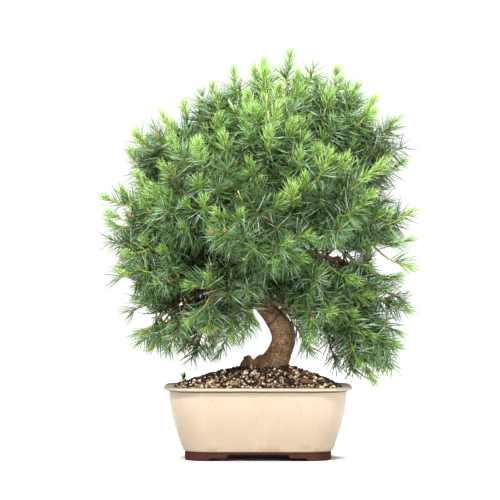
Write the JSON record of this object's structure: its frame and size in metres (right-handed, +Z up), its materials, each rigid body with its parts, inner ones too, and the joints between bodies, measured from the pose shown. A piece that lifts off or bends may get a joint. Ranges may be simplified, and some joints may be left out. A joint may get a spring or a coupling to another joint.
{
  "type": "bonsai tree in a pot",
  "caption": "Pine bonsai with a curved trunk and a dense rounded crown of long needles, in a cream glazed rectangular pot on brown unglazed bracket feet.",
  "frame": {"origin": "on the surface that the pot's feet stand on, below the middle of the pot", "axes": "+Z up along the tree, +X to the right along the pot's long side, -Y towards the front"},
  "size_m": [0.4176, 0.344, 0.552],
  "materials": {
    "cream_glaze": "cream satin glaze with fine brown specks; brown line under the lip and brown unglazed feet",
    "black_mesh": "black moulded drainage mesh",
    "copper_wire": "bare copper-coloured wire",
    "potting_soil": "dark crumbly bark-based potting soil with roots",
    "grit": "loose grit, pale pink, cream and dark brown grains",
    "red_bark": "rough reddish bark",
    "leaf": "fresh green seedling leaves",
    "bark": "brown-grey young pine bark, finely wrinkled across",
    "needles": "long green pine needles, blue-green when old and bright yellow-green at the new tips"
  },
  "bodies": {
    "root": {"pot": "cream_glaze", "drain_screen_left": "black_mesh", "drain_screen_right": "black_mesh", "screen_clip_left": "copper_wire", "screen_clip_right": "copper_wire", "soil": "potting_soil", "grit_dressing": "grit", "bark_chip": "red_bark", "weed_seedling": "leaf", "trunk": "bark", "limb_lowest_left": "bark", "limb_lowest_right": "bark", "limb_low_left": "bark", "limb_low_right": "bark", "limb_front_low_left": "bark", "limb_front_low_right": "bark", "limb_back_low_left": "bark", "limb_back_low_right": "bark", "limb_left": "bark", "limb_right": "bark", "limb_front": "bark", "limb_back": "bark", "limb_mid_left": "bark", "limb_mid_right": "bark", "limb_front_left": "bark", "limb_front_right": "bark", "limb_back_left": "bark", "limb_back_right": "bark", "limb_shoulder_left": "bark", "limb_shoulder_right": "bark", "limb_crown_left": "bark", "limb_crown_right": "bark", "limb_crown_front": "bark", "limb_crown_back": "bark", "foliage_lowest_left": "needles", "foliage_lowest_right": "needles", "foliage_low_left": "needles", "foliage_low_right": "needles", "foliage_front_low_left": "needles", "foliage_front_low_right": "needles", "foliage_back_low_left": "needles", "foliage_back_low_right": "needles", "foliage_left": "needles", "foliage_right": "needles", "foliage_front": "needles", "foliage_back": "needles", "foliage_mid_left": "needles", "foliage_mid_right": "needles", "foliage_front_left": "needles", "foliage_front_right": "needles", "foliage_back_left": "needles", "foliage_back_right": "needles", "foliage_shoulder_left": "needles", "foliage_shoulder_right": "needles", "foliage_crown_left": "needles", "foliage_crown_right": "needles", "foliage_crown_front": "needles", "foliage_crown_back": "needles", "foliage_apex": "needles"}
  },
  "joints": []
}
